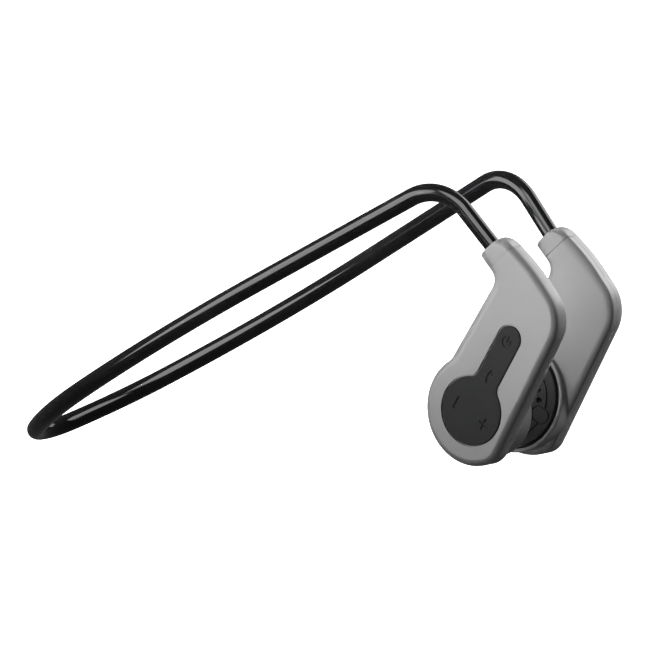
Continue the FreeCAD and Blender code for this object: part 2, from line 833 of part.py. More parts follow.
def circuit_board():
    body = side_body("circuit_board")
    disc = draw_circle(side_sketch(body, "board_lobe", "Sizes.board_out"), Vector(0, 0, 0), "Sizes.board_lobe")
    add(body, disc, "Sizes.board_thick")
    strip = side_sketch(body, "board_arm", "Sizes.board_out")
    draw(strip, box_outline(ARM, ACROSS, 0, size("board_reach"), -size("board_front"), size("board_rear")))
    add(body, strip, "Sizes.board_thick")
    holes = side_sketch(body, "board_holes", "Sizes.board_out")
    for centre in BOARD_SCREWS:
        draw_circle(holes, centre, "Sizes.screw_radius + Sizes.frame_clear")
    cut(body, holes, "Sizes.board_thick", True)


def board_screws():
    screws = []
    board_under = size("board_out")
    for number, centre in enumerate(BOARD_SCREWS, 1):
        shank = side_rod("screw_shank_%d" % number, centre, "Sizes.screw_radius", "Sizes.screw_length",
                         board_under + size("screw_length"))
        head = side_rod("screw_head_%d" % number, centre, "Sizes.screw_head", "Sizes.screw_head_tall",
                        board_under)
        screw = doc.addObject("Part::Fuse", "board_screw_%d" % number)
        screw.Base = head
        screw.Tool = shank
        screws.append(screw)
    group("board_screws", screws)


def charging_face():
    """The left pad's two charging pins and locating tab, set into the pad."""
    pins = []
    for number, side in enumerate((-1, 1), 1):
        spot = Vector(size("contact_x"), size("contact_y") + side * size("contact_pitch") / 2, 0)
        pins.append(pod_disc("pin_%d" % number, "Sizes.contact_radius", "Sizes.contact_tall",
                             size("pad_proud"), spot))
    tab = doc.addObject("Part::MultiFuse", "tab_shape")
    way = unit(size("tab_angle"))
    far = way * (size("tab_reach") - size("tab_half"))
    near = way * (size("tab_reach") + size("tab_half") - size("tab_length"))
    ends = [pod_disc("tab_end_%d" % i, "Sizes.tab_half", "Sizes.tab_thick", size("pad_proud"), spot)
            for i, spot in enumerate((near, far), 1)]
    bar = doc.addObject("Part::Box", "tab_bar")
    bind(bar, Width="2 * Sizes.tab_half", Height="Sizes.tab_thick",
         Length="Sizes.tab_length - 2 * Sizes.tab_half")
    corner = near - square(way) * size("tab_half") + Vector(0, 0, size("pad_proud") - size("tab_thick"))
    bar.Placement = POD_FRAME.multiply(Placement(corner, Rotation(Vector(0, 0, 1), size("tab_angle"))))
    tab.Shapes = ends + [bar]
    pin_group = doc.addObject("Part::Compound", "pin_group")
    pin_group.Links = pins
    return pin_group, tab


# ---------------------------------------------------------------- assembly

outer_shell("right_outer_shell", True)
inner_shell("right_inner_shell", True)
collar("right_collar")
wire_anchor("right_wire_anchor")
driver("right_")
contact_pad("right_contact_pad")

outer_shell("plain_outer_shell", False)
left_copy("left_outer_shell", nodes.pop("plain_outer_shell"))
inner_shell("plain_inner_shell", False)
left_copy("left_inner_shell", nodes.pop("plain_inner_shell"))
for twin in ("collar", "wire_anchor", "drive_plate", "voice_coil", "pad_surround", "leaf_spring",
             "yoke", "magnet", "pole_plate", "driver_frame"):
    left_copy("left_" + twin, nodes["right_" + twin])

pins, tab = charging_face()
bored_pad = doc.addObject("Part::Cut", "bored_pad")
bored_pad.Base = pod_disc("plain_pad", "Sizes.pad_radius", "Sizes.pad_thick", size("pad_proud"))
pad_tools = doc.addObject("Part::MultiFuse", "pad_tools")
pad_tools.Shapes = [pins, tab]
bored_pad.Tool = pad_tools
left_copy("left_contact_pad", bored_pad)
left_copy("charging_contacts", pins)
left_copy("locating_tab", tab)

shaped("right_sleeve", side_sleeve(-1))
shaped("rear_sleeve", rear_sleeve())
shaped("left_sleeve", side_sleeve(1))
shaped("spring_wire", core(size("wire_shift"), size("wire_dia") / 2))
shaped("signal_cable", core(size("cable_shift"), size("cable_dia") / 2))

keypad()
for key, spot in KEYS.items():
    keep(side_rod("key_" + key, spot, "Sizes.key_radius", "Sizes.key_tall", size("half_thick")), "key_" + key)
circuit_board()
dome_out = size("board_out") + size("board_thick") + size("dome_tall")
group("dome_switches", [side_rod("dome_" + key, spot, "Sizes.dome_radius", "Sizes.dome_tall", dome_out)
                        for key, spot in KEYS.items()])
board_screws()
for chip, prefix in (("radio_module", "radio"), ("audio_chip", "chip"), ("antenna", "antenna"),
                     ("microphone", "mic")):
    side_block(chip, prefix, -1, size("board_out"))
side_block("battery", "battery", 1, size("battery_tall") / 2)
side_block("battery_board", "charger", 1, size("charger_tall") / 2)

doc.recompute()


def check(thing):
    """Stops on a failed object."""
    if {"Invalid", "Error"} & set(thing.State):
        raise RuntimeError("failed object: " + thing.Name)


for thing in doc.Objects:
    check(thing)
for name, piece in nodes.items():
    if piece.Shape.isNull() or not piece.Shape.isValid():
        raise RuntimeError("bad shape: " + name)

# The origin goes to the bottom centre of the whole object's bounding box.
whole = FreeCAD.BoundBox()
for piece in nodes.values():
    whole.add(piece.Shape.optimalBoundingBox(False, False))
to_origin = Vector(-whole.Center.x, -whole.Center.y, -whole.ZMin)

os.makedirs("parts", exist_ok=True)
for name, piece in nodes.items():
    shape = piece.Shape.copy()
    shape.translate(to_origin)
    shape.exportStep("parts/%s.step" % name)
print("origin shift", to_origin, "size", whole.XLength, whole.YLength, whole.ZLength)
print(len(nodes), "nodes")
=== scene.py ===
import json
import math

import bpy
import numpy as np
from mathutils import Matrix, Vector
from mathutils.geometry import tessellate_polygon


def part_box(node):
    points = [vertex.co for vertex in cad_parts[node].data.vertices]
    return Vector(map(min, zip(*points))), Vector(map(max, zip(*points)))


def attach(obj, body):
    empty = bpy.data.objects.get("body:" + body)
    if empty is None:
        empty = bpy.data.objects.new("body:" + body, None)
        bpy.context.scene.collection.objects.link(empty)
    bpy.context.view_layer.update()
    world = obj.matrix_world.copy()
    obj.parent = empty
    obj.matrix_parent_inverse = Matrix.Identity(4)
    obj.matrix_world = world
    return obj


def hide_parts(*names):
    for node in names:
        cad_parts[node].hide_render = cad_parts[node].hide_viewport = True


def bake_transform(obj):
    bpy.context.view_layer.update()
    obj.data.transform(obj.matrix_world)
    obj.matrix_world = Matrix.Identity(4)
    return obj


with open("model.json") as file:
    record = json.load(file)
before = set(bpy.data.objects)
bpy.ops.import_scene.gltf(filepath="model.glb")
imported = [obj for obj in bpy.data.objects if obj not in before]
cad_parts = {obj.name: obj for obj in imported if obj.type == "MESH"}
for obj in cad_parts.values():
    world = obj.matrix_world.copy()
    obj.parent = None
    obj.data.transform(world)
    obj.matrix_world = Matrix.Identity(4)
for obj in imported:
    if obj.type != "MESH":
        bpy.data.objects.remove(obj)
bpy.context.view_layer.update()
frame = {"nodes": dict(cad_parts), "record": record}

MM = 0.001

# ---------------------------------------------------------------- sizes, in millimetres and degrees

HALF_THICK = 3.0
WALL = 1.2
SOFT_IN, SOFT_DEEP, SOFT_TURN = 1.78, 1.1, 60.0
REAR_SOFT = 1.4
LOBE = 14.0
SHOULDER_ROUND = 3.0
TOE_ROUND = 6.5
ARM_ANGLE = 56.7
LOW_ANGLE, LOW_REACH = 58.7, 11.8
REAR_ANGLE = 54.7
REAR_REACH = 12.3
BROW = (19.15, 36.1)
BROW_ANGLE = -53.2
BROW_ROUND = 50.0
NOSE_ROUND = 10.0
ELBOW_ROUND = 3.5
SEAM, HAIRLINE = 0.05, 0.008

COLLAR_TOP = (6.5, 41.4)
COLLAR_LEAN = 0.65
COLLAR_LENGTH = 4.4
COLLAR_ROUND = 0.5
TUBE_STOP = 0.4
NECK_REAR, NECK_FRONT = 3.7, 5.3
COLLAR_FLARE, COLLAR_SWEEP, COLLAR_NOSE = 0.5, 1.5, 1.3
NECK_GAP = 0.03

TUBE, LEG_TUBE, BORE = 2.3, 2.1, 1.5
WIRE, CABLE = 0.5, 0.75
WIRE_SHIFT, CABLE_SHIFT = 0.75, -0.6
BAND_TILT = 27.2
REAR_X, HOOK_X = -141.3, -6.77
LOOP = ((10.25, 40.4), (56.7, 12.9), (185.0, -7.8))
HOOK_ROUND = 12.0
CORE_TAIL = 7.0
TAPER_START = 0.15

POD_TILT = 8.0
POD_X, POD_Z, POD_OUT = -1.6, 1.0, 5.7
RIM, BASE = 14.0, 12.9
BASE_X, BASE_Z = -0.9, 0.5
MOUTH, MOUTH_DEPTH = 12.9, 1.4
POD_BORE, POD_DEPTH, YOKE_HOLE = 11.2, 3.7, 10.0
PAD, PAD_PROUD, PAD_THICK = 12.3, 0.3, 1.2
ARM_FLOOR = 14.2
RIM_ROUND, MOUTH_ROUND, CONE_SCALE = 0.42, 0.3, 0.96
FILLET, FILLET_GROWTH, FILLET_SPAN = 0.2, 0.3, (2.0, 9.0)
REAR_SPAN, SHOULDER_SPAN = (-2.0, 6.0), (6.0, 14.0)
NECK_OVERRUN = 6.0

KEY_LOBE, STEM_HALF, STEM_REACH, STEM_BLEND = 8.75, 3.35, 22.0, 3.0
KEYPAD_THICK, KEYPAD_GAP = 0.6, 0.32
KEY, KEY_TALL, KEY_WELL = 2.3, 0.95, 2.6
KEY_GROWTH, HOLE_GROWTH = 0.05, 0.056
KEY_RINGS, KEY_SPOKES = 47, 132
POWER_ALONG, CALL_ALONG, VOLUME_ALONG, VOLUME_ACROSS = 21.0, 10.5, -0.7, 4.8
SLOT_ALONG, SLOT_LENGTH, SLOT_WIDE, SLOT_OUT = 20.6, 5.0, 0.6, 1.2
SLOT_ROUND, SLOT_OVERCUT = 0.08, 0.2
CONTACT_X, CONTACT_PITCH, CONTACT_MIDDLE = 7.3, 2.8, -0.9
CONTACT_STEPS = (-0.5, 0.5)
TAB_HALF, TAB_LENGTH, TAB_ANGLE, TAB_REACH = 1.8, 5.0, 28.0, 11.4

# The right housing's box gives the lobe's centre and the two mid-planes.
shell_low, shell_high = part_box("right_outer_shell")
ORIGIN = np.array([shell_low.x / MM + LOBE, 0.0, shell_low.z / MM + LOBE])
HALF_GAP = -shell_high.y / MM - SEAM


# ---------------------------------------------------------------- plane geometry

def unit(angle):
    turn = math.radians(angle)
    return np.array([math.cos(turn), math.sin(turn)])


def square(v):
    return np.array([-v[1], v[0]])


def normal(v):
    return v / np.linalg.norm(v)


ARM = unit(ARM_ANGLE)
ACROSS = square(ARM)
LOW_WAY = unit(LOW_ANGLE)
LOW_SIDE = -square(LOW_WAY)
LEG_TOP = np.array(COLLAR_TOP)
HOOK = np.array([HOOK_X, TUBE - LOBE + (HOOK_X - REAR_X) * math.tan(math.radians(BAND_TILT))])
LEG = normal(LEG_TOP - HOOK)
LEG_FRONT = square(LEG)
NECK_TOP = LEG_TOP + LEG * COLLAR_LENGTH


def crossing(first, second):
    return np.linalg.solve(np.array([first[0], second[0]]), np.array([first[1], second[1]]))


def corner_arc(first, second, radius, bulge):
    (n, c), (k, d) = first, second
    reach = bulge * radius
    centre = crossing((n, c - reach), (k, d - reach))
    return [centre + n * reach, centre + normal(n + k) * reach, centre + k * reach]


def shoulder_arc(line, upward, lobe, radius):
    n, c = line
    rise = math.sqrt((lobe + radius) ** 2 - (c + radius) ** 2)
    centre = n * (c + radius) + upward * rise
    inward = normal(centre)
    return [centre - n * radius, centre - normal(n + inward) * radius, inward * lobe]


def toe_arc(line, downward, lobe, radius):
    n, c = line
    drop = math.sqrt((lobe - radius) ** 2 - (c - radius) ** 2)
    centre = n * (c - radius) + downward * drop
    outward = normal(centre)
    return [centre + n * radius, centre + normal(n + outward) * radius, outward * lobe]


def line_at(point, way, inset):
    side = square(way)
    return side, point @ side - inset


def housing_outline(inset, top_inset=0.0, rear_share=1.0):
    """The boomerang's outline, clockwise: two points make a line, three make an arc."""
    lobe = LOBE - inset
    rear_inset = inset * rear_share
    rear_way = unit(REAR_ANGLE)
    brow = np.array(BROW)
    neck_corner = NECK_TOP + LEG_FRONT * NECK_FRONT
    top = (-LEG, -NECK_TOP @ LEG - top_inset)
    front = line_at(neck_corner, normal(brow - neck_corner), inset)
    cheek = line_at(brow, unit(BROW_ANGLE), inset)
    low = (LOW_SIDE, LOW_REACH - inset)
    rear = (square(rear_way), REAR_REACH - rear_inset)
    neck = (-LEG_FRONT, NECK_REAR - LEG_TOP @ LEG_FRONT - rear_inset)
    bend = corner_arc(front, cheek, BROW_ROUND - inset, 1)
    nose = corner_arc(cheek, low, NOSE_ROUND - inset, 1)
    toe = toe_arc(low, -LOW_WAY, lobe, TOE_ROUND - inset)
    shoulder = shoulder_arc(rear, rear_way, lobe, SHOULDER_ROUND + inset)
    elbow = corner_arc(rear, neck, ELBOW_ROUND + rear_inset, -1)
    front_top, neck_top = crossing(top, front), crossing(neck, top)
    return [
        [front_top, bend[0]], bend, [bend[2], nose[0]], nose, [nose[2], toe[0]], toe,
        [toe[2], -ARM * lobe, shoulder[2]], shoulder[::-1], [shoulder[0], elbow[0]], elbow,
        [elbow[2], neck_top], [neck_top, front_top],
    ]


def keypad_outline(gap):
    lobe, half, hollow = KEY_LOBE + gap, STEM_HALF + gap, STEM_BLEND - gap
    left = shoulder_arc((ACROSS, half), ARM, lobe, hollow)
    right = shoulder_arc((-ACROSS, half), ARM, lobe, hollow)
    end = ARM * STEM_REACH
    cap = [end + ACROSS * half, end + ARM * half, end - ACROSS * half]
    return [[left[0], cap[0]], cap, [cap[2], right[0]], right,
            [right[2], -ARM * lobe, left[2]], left[::-1]]


def arc_facts(points):
    """Centre, radius, direction to the middle and half the sweep of a three-point arc."""
    a, b, c = points
    m = np.array([b - a, c - b])
    rhs = np.array([(b @ b - a @ a) / 2, (c @ c - b @ b) / 2])
    centre = np.linalg.solve(m, rhs)
    radius = np.linalg.norm(b - centre)
    sense = np.sign(turn_of(points))
    headings = [math.atan2(p[1] - centre[1], p[0] - centre[0]) for p in points]
    first = (sense * (headings[1] - headings[0])) % (2 * math.pi)
    second = (sense * (headings[2] - headings[1])) % (2 * math.pi)
    half = (first + second) / 2
    return centre, radius, unit(math.degrees(headings[0] + sense * half)), half


def turn_of(points):
    first, last = points[1] - points[0], points[2] - points[1]
    return first[0] * last[1] - first[1] * last[0]


def sampled(outline, counts):
    """Points along a closed outline, with the same count on each piece whatever its inset."""
    points = []
    for piece, count in zip(outline, counts):
        steps = np.arange(count) / count
        if len(piece) == 2:
            points += [piece[0] + (piece[1] - piece[0]) * t for t in steps]
            continue
        centre, radius, _, half = arc_facts(piece)
        start = math.atan2(*(piece[0] - centre)[::-1])
        sweep = math.copysign(2 * half, turn_of(piece))
        for t in steps:
            points.append(centre + radius * np.array([math.cos(start + sweep * t),
                                                      math.sin(start + sweep * t)]))
    return np.array(points)


NOWHERE = 1e9


def outline_field(outline):
    """Signed distance to a clockwise outline, negative inside, for arrays x and z."""
    pieces = []
    for piece in outline:
        if len(piece) == 2:
            way = piece[1] - piece[0]
            pieces.append(("line", piece[0], normal(way), np.linalg.norm(way)))
        else:
            pieces.append(("arc", *arc_facts(piece), -np.sign(turn_of(piece))))

    def field(x, z):
        shape = np.broadcast(x, z).shape
        nearest = np.full(shape, NOWHERE)
        signed = np.zeros(shape)
        for piece in pieces:
            if piece[0] == "line":
                _, start, way, length = piece
                along = np.clip((x - start[0]) * way[0] + (z - start[1]) * way[1], 0, length)
                reach = np.hypot(x - start[0] - way[0] * along, z - start[1] - way[1] * along)
                side = (x - start[0]) * -way[1] + (z - start[1]) * way[0]
                value = np.where(side < 0, -reach, reach)
            else:
                _, centre, radius, middle, half, bulge = piece
                dx, dz = x - centre[0], z - centre[1]
                rho = np.hypot(dx, dz) + 1e-9
                inside = (dx * middle[0] + dz * middle[1]) / rho >= math.cos(half) - 1e-6
                value = bulge * (rho - radius)
                reach = np.where(inside, np.abs(value), NOWHERE)
            closer = reach < nearest
            nearest = np.where(closer, reach, nearest)
            signed = np.where(closer, value, signed)
        return signed
    return field


# ---------------------------------------------------------------- meshes

def to_world(points, side):
    """Right-hand millimetres about the lobe's centre to metres in the frame; side 1 mirrors."""
    points = np.asarray(points, float).reshape(-1, 3)
    flip = np.array([1.0, -float(side), 1.0])
    return (points * flip + ORIGIN) * MM


def make_piece(name, points, faces, side=-1, sharp=35.0):
    """A mesh piece from right-hand points, its faces turned over when mirrored."""
    if side > 0:
        faces = [tuple(face)[::-1] for face in faces]
    mesh = bpy.data.meshes.new(name)
    mesh.from_pydata(to_world(points, side).tolist(), [], [tuple(map(int, f)) for f in faces])
    mesh.validate()
    mesh.update()
    mesh.polygons.foreach_set("use_smooth", np.ones(len(mesh.polygons), bool))
    mesh.set_sharp_from_angle(angle=math.radians(sharp))
    piece = bpy.data.objects.new(name, mesh)
    bpy.context.scene.collection.objects.link(piece)
    return piece


class Builder:
    """Gathers rings and flat fills into one mesh."""

    def __init__(self):
        self.points = []
        self.faces = []

    def ring(self, points):
        start = len(self.points)
        self.points += [tuple(p) for p in points]
        return list(range(start, start + len(points)))

    def join(self, first, second):
        count = len(first)
        for i in range(count):
            j = (i + 1) % count
            self.faces.append((first[i], first[j], second[j], second[i]))

    def rings(self, rows):
        made = [self.ring(row) for row in rows]
        for first, second in zip(made, made[1:]):
            self.join(first, second)
        return made[0], made[-1]

    def fill(self, loops, facing):
        """Flat face bounded by the first loop, with the rest as holes."""
        corners = [[Vector(self.points[i]) for i in loop] for loop in loops]
        names = [i for loop in loops for i in loop]
        for a, b, c in tessellate_polygon(corners):
            p, q, r = (np.array(self.points[names[i]]) for i in (a, b, c))
            turned = np.cross(q - p, r - p) @ np.array(facing) < 0
            self.faces.append((names[c], names[b], names[a]) if turned else
                              (names[a], names[b], names[c]))


def at_depth(plane, out):
    """Side-view points at a distance outward (away from the head) of the right mid-plane."""
    plane = np.asarray(plane)
    return np.column_stack([plane[:, 0], np.full(len(plane), -HALF_GAP - out), plane[:, 1]])


def circle(centre, radius, count):
    turn = -np.arange(count) / count * 2 * math.pi
    return np.column_stack([centre[0] + radius * np.cos(turn), centre[1] + radius * np.sin(turn)])


OUTLINE_COUNTS = (14, 22, 12, 22, 24, 14, 64, 10, 20, 12, 6, 10)
KEYPAD_COUNTS = (18, 28, 18, 12, 96, 12)
OUTWARD, INWARD = (0, -1, 0), (0, 1, 0)
KEY_PLACES = {
    "power": ARM * POWER_ALONG,
    "call": ARM * CALL_ALONG,
    "minus": ARM * VOLUME_ALONG + ACROSS * VOLUME_ACROSS,
    "plus": ARM * VOLUME_ALONG - ACROSS * VOLUME_ACROSS,
}


def rounded_edge(level, radius, steps):
    """(inset, out) pairs of a quarter round up to a level."""
    turns = np.linspace(0, math.pi / 2, steps)
    return [(radius * (1 - math.cos(t)), level - radius * (1 - math.sin(t))) for t in turns]


def soft_edge(steps):
    """(share of the width, depth) pairs of the face's soft edge, from the wall's crease inward."""
    end = math.radians(SOFT_TURN)
    return [(1 - math.sin(t) / math.sin(end), SOFT_DEEP * (1 - math.cos(t)) / (1 - math.cos(end)))
            for t in np.linspace(end, 0, steps)]


def outer_shell(name, side, has_keypad):
    """The tray away from the head: wall, soft edge, flat face, recess, wells and hollow."""
    build = Builder()
    rows = [at_depth(sampled(housing_outline(0.0, NECK_GAP), OUTLINE_COUNTS), HAIRLINE)]
    for share, deep in soft_edge(16) + [(1.012, 0.0)]:
        edge = housing_outline(SOFT_IN * share, NECK_GAP, REAR_SOFT)
        rows.append(at_depth(sampled(edge, OUTLINE_COUNTS), HALF_THICK - deep))
    seam_ring, face_ring = build.rings(rows)
    ceiling = HALF_THICK - WALL
    hollow = [at_depth(sampled(housing_outline(WALL, WALL), OUTLINE_COUNTS), out)
              for out in (ceiling, HAIRLINE)]
    ceiling_ring, inner_ring = build.rings(hollow)
    build.join(inner_ring, seam_ring)
    face_holes, ceiling_holes = [], []
    if has_keypad:
        soft = 0.05
        rows = [at_depth(sampled(keypad_outline(KEYPAD_GAP + inset), KEYPAD_COUNTS), out)
                for inset, out in rounded_edge(HALF_THICK, soft, 5)[::-1]]
        rows.insert(0, at_depth(sampled(keypad_outline(KEYPAD_GAP + 2 * soft), KEYPAD_COUNTS),
                                HALF_THICK))
        floor = HALF_THICK - KEYPAD_THICK
        rows.append(at_depth(sampled(keypad_outline(KEYPAD_GAP), KEYPAD_COUNTS), floor))
        recess_ring, floor_ring = build.rings(rows)
        face_holes.append(recess_ring)
        wells = []
        for place in KEY_PLACES.values():
            top, low = build.rings([at_depth(circle(place, KEY_WELL, 40), out)
                                    for out in (floor, ceiling)])
            wells.append(top)
            ceiling_holes.append(low)
        build.fill([floor_ring] + wells, OUTWARD)
    build.fill([face_ring] + face_holes, OUTWARD)
    build.fill([ceiling_ring] + ceiling_holes, INWARD)
    return make_piece(name, build.points, build.faces, side)


# ---------------------------------------------------------------- inner shells, from a distance field

TILT = math.radians(POD_TILT)
POD_AXIS = np.array([0, math.cos(TILT), math.sin(TILT)])
POD_DOWN = np.array([0, math.sin(TILT), -math.cos(TILT)])
POD_SIDE = np.array([1.0, 0, 0])
POD_CENTRE = np.array([POD_X, POD_OUT - HALF_GAP, POD_Z])


def on_pod(u, v, w):
    """Points of the pod's frame: u forward, v down, w along the axis from the rim."""
    u, v, w = np.broadcast_arrays(u, v, w)
    return (POD_CENTRE + u[..., None] * POD_SIDE + v[..., None] * POD_DOWN + w[..., None] * POD_AXIS)


def round_meet(a, b, radius):
    """Intersection of two fields with a rounded edge."""
    return (np.hypot(np.maximum(a + radius, 0), np.maximum(b + radius, 0)) - radius
            + np.minimum(np.maximum(a, b) + radius, 0))


def soft_meet(a, b, wide):
    """Intersection of a wall and a face with the soft edge, which ends in a crease at the wall."""
    end = math.radians(SOFT_TURN)
    radius = SOFT_DEEP / (1 - math.cos(end))
    spread = radius * math.sin(end) / wide
    over = np.maximum(a + wide, 0) * spread
    arc = np.hypot(over, np.maximum(b + radius, 0)) - radius
    return np.maximum(a, np.where(over > 0, arc, b))


def round_join(a, b, radius):
    """Union of two fields with a hollow fillet; the radius may vary."""
    return (np.maximum(radius, np.minimum(a, b))
            - np.hypot(np.maximum(radius - a, 0), np.maximum(radius - b, 0)))


def smooth_step(value, low, high):
    t = np.clip((value - low) / (high - low), 0, 1)
    return t * t * (3 - 2 * t)


# Both run past the neck; the shell's field cuts them off there.
SLAB = outline_field(housing_outline(0.0, -NECK_OVERRUN))
HOLLOW = outline_field(housing_outline(WALL, -NECK_OVERRUN))


def inner_field(x, y, z, has_slot):
    """Signed distance of the right inner shell."""
    out = y + HALF_GAP
    slab = SLAB(x, z)
    along = x * ARM[0] + z * ARM[1]
    behind = smooth_step(x * ACROSS[0] + z * ACROSS[1], *REAR_SPAN)
    behind = behind * smooth_step(along, *SHOULDER_SPAN)
    tray = soft_meet(slab, out - HALF_THICK, SOFT_IN * (1 + (REAR_SOFT - 1) * behind))
    dx, dy, dz = x - POD_CENTRE[0], y - POD_CENTRE[1], z - POD_CENTRE[2]
    u = dx
    v = dy * POD_DOWN[1] + dz * POD_DOWN[2]
    w = dy * POD_AXIS[1] + dz * POD_AXIS[2]
    base = np.array([BASE_X - POD_X, -POD_OUT, BASE_Z - POD_Z])
    depth = -base @ POD_AXIS
    share = -w / depth
    rho = np.hypot(u - share * (base @ POD_SIDE), v - share * (base @ POD_DOWN))
    cone = (rho - (RIM - share * (RIM - BASE))) * CONE_SCALE
    pod = round_meet(cone, w, RIM_ROUND)
    fillet = FILLET + FILLET_GROWTH * smooth_step(along, *FILLET_SPAN)
    body = round_join(tray, pod, fillet)
    straight = np.hypot(u, v)
    body = round_meet(body, -np.maximum(straight - MOUTH, -w - MOUTH_DEPTH), MOUTH_ROUND)
    body = np.maximum(body, -np.maximum(straight - POD_BORE, -w - POD_DEPTH))
    body = np.maximum(body, -(straight - YOKE_HOLE))
    hollow = np.maximum(HOLLOW(x, z), np.maximum(out - HALF_THICK + WALL, ARM_FLOOR - along))
    body = np.maximum(body, -hollow)
    top = (NECK_TOP @ LEG) + NECK_GAP - (x * LEG[0] + z * LEG[1])
    body = np.maximum(body, np.maximum(top, HAIRLINE - out))
    if has_slot:
        beside = x * LOW_SIDE[0] + z * LOW_SIDE[1]
        from_middle = np.abs(x * LOW_WAY[0] + z * LOW_WAY[1] - SLOT_ALONG)
        run = np.maximum(from_middle - SLOT_LENGTH / 2 + SLOT_WIDE / 2, 0)
        pill = np.hypot(run, out - SLOT_OUT - SLOT_WIDE / 2) - SLOT_WIDE / 2
        cut = np.maximum(pill, LOW_REACH - WALL - SLOT_OVERCUT - beside)
        body = round_meet(body, -cut, SLOT_ROUND)
    return body


def surface_net(field, low, high, step):
    """Quads on the zero surface of a field, pulled exactly onto it."""
    axes = [np.arange(l, h + step, step) for l, h in zip(low, high)]
    value = field(axes[0][:, None, None], axes[1][None, :, None], axes[2][None, None, :])
    inside = value < 0
    cell = np.zeros(tuple(n - 1 for n in value.shape), np.uint8)
    offsets = [(i, j, k) for i in (0, 1) for j in (0, 1) for k in (0, 1)]
    for i, j, k in offsets:
        cell += inside[i:i + cell.shape[0], j:j + cell.shape[1], k:k + cell.shape[2]]
    where = np.argwhere((cell > 0) & (cell < 8))
    number = np.full(cell.shape, -1, np.int64)
    number[tuple(where.T)] = np.arange(len(where))
    total, count = np.zeros((len(where), 3)), np.zeros((len(where), 1))
    for a in offsets:
        for axis in range(3):
            if a[axis]:
                continue
            b = tuple(a[n] + (n == axis) for n in range(3))
            va = value[tuple((where + a).T)]
            vb = value[tuple((where + b).T)]
            cross = (va < 0) != (vb < 0)
            t = np.where(cross, va / np.where(cross, va - vb, 1), 0)
            spot = where + np.array(a) + t[:, None] * (np.array(b) - np.array(a))
            total += np.where(cross[:, None], spot, 0)
            count += cross[:, None]
    points = np.array([a[0] for a in axes]) + total / count * step
    quads = []
    for axis in range(3):
        u, v = (axis + 1) % 3, (axis + 2) % 3
        first = np.take(inside, range(inside.shape[axis] - 1), axis)
        second = np.take(inside, range(1, inside.shape[axis]), axis)
        edges = np.argwhere(first != second)
        edges = edges[(edges[:, u] > 0) & (edges[:, v] > 0)
                      & (edges[:, u] < cell.shape[u]) & (edges[:, v] < cell.shape[v])]
        corners = []
        for du, dv in ((1, 1), (0, 1), (0, 0), (1, 0)):
            shift = edges.copy()
            shift[:, u] -= du
            shift[:, v] -= dv
            corners.append(number[tuple(shift.T)])
        quad = np.column_stack(corners)
        outward = first[tuple(edges.T)]
        quad[~outward] = quad[~outward][:, ::-1]
        quads.append(quad)
    quads = np.concatenate(quads)
    return relaxed(points, quads, field, step), quads


NET_STEP, QUICK_STEP = 0.2, 0.3
NET_LOW = (-17.5, -HALF_GAP - 0.3, -15.5)
NET_HIGH = (27.5, -HALF_GAP + 8.4, 42.5)
NET_PASSES, NET_PULLS = 2, 3


def relaxed(points, quads, field, step):
    """Evens out the net's points, then moves them onto the surface."""
    links = np.concatenate([quads[:, [i, (i + 1) % 4]] for i in range(4)])
    for _ in range(NET_PASSES):
        total = np.zeros_like(points)
        count = np.zeros(len(points))
        for a, b in ((0, 1), (1, 0)):
            np.add.at(total, links[:, a], points[links[:, b]])
            np.add.at(count, links[:, a], 1)
        points = points * 0.5 + total / count[:, None] * 0.5
        for _ in range(NET_PULLS):
            points = pulled(points, field, step)
    return points


def pulled(points, field, step):
    """Moves points down the field's slope to its zero, by half a step at most."""
    tiny, least_slope = 0.004, 0.3
    here = field(*points.T)
    slope = np.column_stack([
        (field(*(points + shift).T) - field(*(points - shift).T)) / (2 * tiny)
        for shift in np.eye(3) * tiny])
    scale = np.maximum((slope ** 2).sum(1), least_slope)
    move = -(here / scale)[:, None] * slope
    length = np.linalg.norm(move, axis=1, keepdims=True)
    return points + move * np.minimum(1, 0.5 * step / np.maximum(length, 1e-9))


def inner_shell(name, side, has_slot):
    """The tray next to the head with its round pod."""
    def field(x, y, z):
        return inner_field(x, y, z, has_slot)

    points, quads = surface_net(field, NET_LOW, NET_HIGH, NET_STEP)
    return make_piece(name, points, quads.tolist(), side, 45.0)


# ---------------------------------------------------------------- neckband

REAR = np.array([REAR_X, 0.0, TUBE - LOBE])
SLOPE = math.radians(BAND_TILT)
LOOP_SPACING, LOOP_LEAST = 1.2, 10
STRAIGHT_STEPS, HOOK_STEPS, LEG_STEPS = 24, 30, 22


def on_band(point, side):
    """A point of the tilted plane in which the loop lies."""
    return REAR + np.array([math.cos(SLOPE) * point[0], side * point[1], math.sin(SLOPE) * point[0]])


def loop_arcs(shift):
    """Centre, radius, first and last heading of each of the loop's arcs."""
    start, heading, arcs = np.zeros(2), 90.0, []
    for radius, last in LOOP:
        centre = start - square(unit(heading)) * radius
        arcs.append((centre, radius + shift, heading, last))
        start = centre + square(unit(last)) * radius
        heading = last
    return arcs


